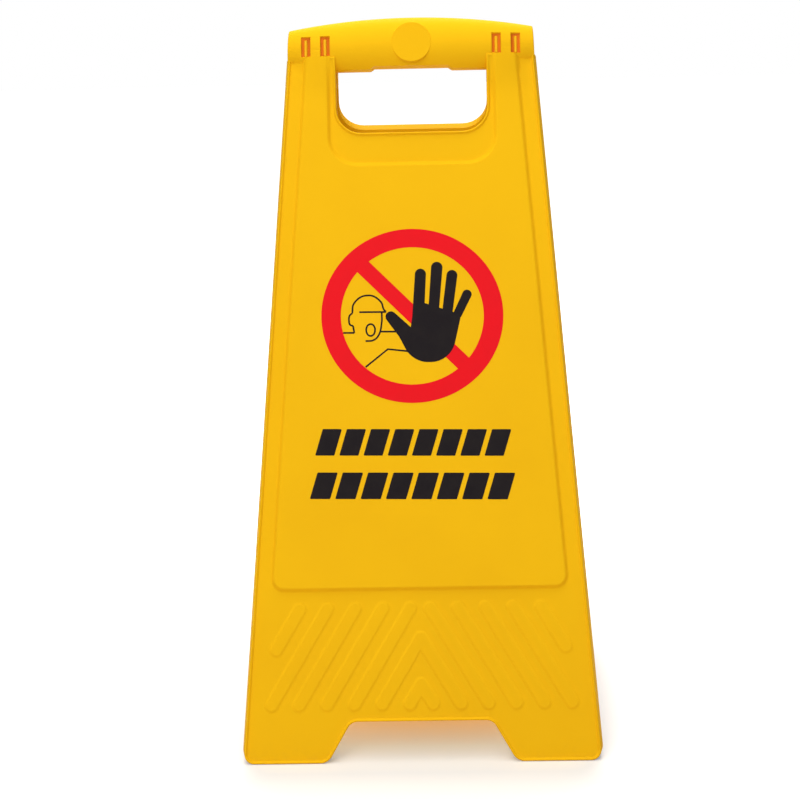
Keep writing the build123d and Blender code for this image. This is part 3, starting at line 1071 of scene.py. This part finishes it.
def make_figure(scene, side):
    """The line drawing of a helmeted head and shoulders, as round pen strokes flattened to ink."""
    ink = scene.sign_print
    helmet = [(-50.4, 2.1), (-48.8, 10.6), (-37.1, 17.2), (-26.5, 11.9), (-23.7, 5.2), (-22.0, 3.5)]
    nape = [(-50.4, 2.1), (-52.4, 0.4), (-53.1, -3.6), (-52.0, -7.6), (-49.9, -8.5), (-49.2, -11)]
    neck = (-48.6, -14.3)
    strokes = [
        ("AUTO", False, helmet),
        ("VECTOR", False, [(-44.4, 3.1), (-22.0, 3.3)]),
        ("AUTO", False, [(-25.6, 2.7), (-25.6, -5.4), (-28.7, -17.1), (-32.6, -20.4), (-39.1, -21.2)]),
        ("AUTO", False, [*nape, neck]),
        ("VECTOR", False, [neck, (-58.0, -14.3)]),
        ("AUTO", True, [(-38.6, -11.8), (-34.9, -6.9), (-31.2, -11.8), (-34.9, -16.8)]),
        ("VECTOR", False, [(-26.5, -13.2), (-13.0, -13.2)]),
        ("VECTOR", False, [(-39.1, -43.0), (-20.4, -27.9), (-3.0, -29.7)]),
    ]
    drawing = bpy.data.curves.new("pen_strokes", "CURVE")
    drawing.dimensions = "3D"
    drawing.bevel_depth = ink.line_width / 2
    drawing.bevel_resolution = 3
    drawing.use_fill_caps = True
    for kind, closed, knots in strokes:
        spline = drawing.splines.new("BEZIER")
        spline.bezier_points.add(len(knots) - 1)
        spline.use_cyclic_u = closed
        for point, (across, up) in zip(spline.bezier_points, knots):
            point.co = (across / DRAWN, up / DRAWN, 0)
            point.handle_left_type = kind
            point.handle_right_type = kind
    helper = add_object("pen_strokes", drawing)
    mesh = final_mesh(helper)
    bm = bmesh.new()
    bm.from_mesh(mesh)
    bpy.data.objects.remove(helper)
    bpy.data.curves.remove(drawing)
    bpy.data.meshes.remove(mesh)
    bmesh.ops.scale(bm, verts=bm.verts, vec=(1, 1, 2 * ink.ink / ink.line_width))
    weld(bm)
    print_piece(bm, "figure", scene, side, black_ink)


# Steps, each an operator


def on_both_sides(context, *makers):
    """Runs the makers for the front and then for the rear panel."""
    for side in SIDES:
        for make in makers:
            make(context.scene, side)
    return {"FINISHED"}


class SIGN_OT_boards(bpy.types.Operator):
    """Model the boards of both panels"""

    bl_idname = "floor_sign.boards"
    bl_label = "Boards"

    def execute(self, context):
        return on_both_sides(context, make_board)


class SIGN_OT_fields(bpy.types.Operator):
    """Model the raised sign fields"""

    bl_idname = "floor_sign.fields"
    bl_label = "Sign fields"

    def execute(self, context):
        return on_both_sides(context, make_field)


class SIGN_OT_ribs(bpy.types.Operator):
    """Model the chevron ribs"""

    bl_idname = "floor_sign.ribs"
    bl_label = "Chevron ribs"

    def execute(self, context):
        return on_both_sides(context, make_ribs)


class SIGN_OT_handles(bpy.types.Operator):
    """Model both halves of the carrying handle"""

    bl_idname = "floor_sign.handles"
    bl_label = "Handle halves"

    def execute(self, context):
        return on_both_sides(context, make_handle)


class SIGN_OT_hinge(bpy.types.Operator):
    """Model the hooks, the pin carriers and the window pockets, and finish the hinge pins"""

    bl_idname = "floor_sign.hinge"
    bl_label = "Hinge"

    def execute(self, context):
        return on_both_sides(context, make_hinge_plates, make_pockets, finish_pin)


class SIGN_OT_prints(bpy.types.Operator):
    """Print the pictogram and the plain bars on both sign fields"""

    bl_idname = "floor_sign.prints"
    bl_label = "Prints"

    def execute(self, context):
        return on_both_sides(context, make_ring, make_hand, make_figure, make_bars)


class SIGN_OT_stage(bpy.types.Operator):
    """Set the floor, the lamps, the sky and the camera"""

    bl_idname = "floor_sign.stage"
    bl_label = "Stage"

    def execute(self, context):
        scene = context.scene
        stage = scene.sign_stage
        scene.view_settings.view_transform = "Standard"
        bm = bmesh.new()
        bmesh.ops.create_grid(bm, x_segments=8, y_segments=8, size=FLOOR_SIZE)
        mesh = new_mesh(bm, "studio_floor")
        mesh.materials.append(studio_floor(scene.sign_finish, stage))
        floor = add_object("studio_floor", mesh)
        self.set_sky(scene, stage)
        self.add_lamp("top_lamp", spot=(-0.1, -0.2, 2.4), size=1.8, power=stage.top_power)
        self.add_lamp("key_lamp", spot=(-0.4, -1.7, 1.75), size=1.6, power=stage.key_power)
        self.add_lamp("front_lamp", spot=(-0.4, -2.4, 0.6), size=1.6, power=stage.front_power)
        self.add_lamp("back_lamp", spot=(0, 1.6, 1.9), size=1.4, power=stage.back_power)
        self.set_camera(scene, stage)
        return {"FINISHED"}

    def set_sky(self, scene, stage):
        world = bpy.data.worlds.new("studio_sky")
        world.use_nodes = True
        tree = world.node_tree
        strength = add_range(tree, camera_rays(tree), 0, 1, stage.sky, 1)
        set_inputs(tree, tree.nodes["Background"], {"Color": (1, 1, 1, 1), "Strength": strength})
        scene.world = world

    def add_lamp(self, name, spot, size, power):
        light = bpy.data.lights.new(name, "AREA")
        light.energy = power
        light.size = size
        lamp = add_object(name, light)
        lamp.location = spot
        lamp.rotation_euler = (LAMP_AIM - lamp.location).to_track_quat("-Z", "Y").to_euler()

    def set_camera(self, scene, stage):
        turn, rise = stage.camera_azimuth, stage.camera_elevation
        back = Vector((sin(turn) * cos(rise), -cos(turn) * cos(rise), sin(rise)))
        aim = Vector((stage.aim_across, 0, stage.aim_height))
        data = bpy.data.cameras.new("photo_camera")
        data.lens = stage.lens
        camera = add_object("photo_camera", data)
        look = (-back).to_track_quat("-Z", "Y").to_matrix().to_4x4()
        roll = Matrix.Rotation(stage.camera_roll, 4, "Z")
        camera.matrix_world = Matrix.Translation(aim + back * stage.camera_distance) @ look @ roll
        scene.camera = camera


class SIGN_PT_sidebar(bpy.types.Panel):
    """Lists the steps that dress the floor sign"""

    bl_label = "Floor sign"
    bl_idname = "SIGN_PT_sidebar"
    bl_space_type = "VIEW_3D"
    bl_region_type = "UI"
    bl_category = "Floor sign"

    def draw(self, context):
        for step in STEPS:
            self.layout.operator(step.bl_idname)


STEPS = [
    SIGN_OT_boards,
    SIGN_OT_fields,
    SIGN_OT_ribs,
    SIGN_OT_handles,
    SIGN_OT_hinge,
    SIGN_OT_prints,
    SIGN_OT_stage,
]
GROUPS = {
    "sign_panel": SIGN_PG_panel,
    "sign_handle": SIGN_PG_handle,
    "sign_print": SIGN_PG_print,
    "sign_finish": SIGN_PG_finish,
    "sign_stage": SIGN_PG_stage,
}


def register():
    for group in GROUPS.values():
        bpy.utils.register_class(group)
    for name, group in GROUPS.items():
        setattr(bpy.types.Scene, name, PointerProperty(type=group))
    for made in STEPS + [SIGN_PT_sidebar]:
        bpy.utils.register_class(made)


def unregister():
    for made in [SIGN_PT_sidebar] + STEPS:
        bpy.utils.unregister_class(made)
    for name in GROUPS:
        delattr(bpy.types.Scene, name)
    for group in GROUPS.values():
        bpy.utils.unregister_class(group)


def main():
    register()
    bpy.ops.floor_sign.boards()
    bpy.ops.floor_sign.fields()
    bpy.ops.floor_sign.ribs()
    bpy.ops.floor_sign.handles()
    bpy.ops.floor_sign.hinge()
    bpy.ops.floor_sign.prints()
    bpy.ops.floor_sign.stage()


if __name__ == "__main__":
    main()
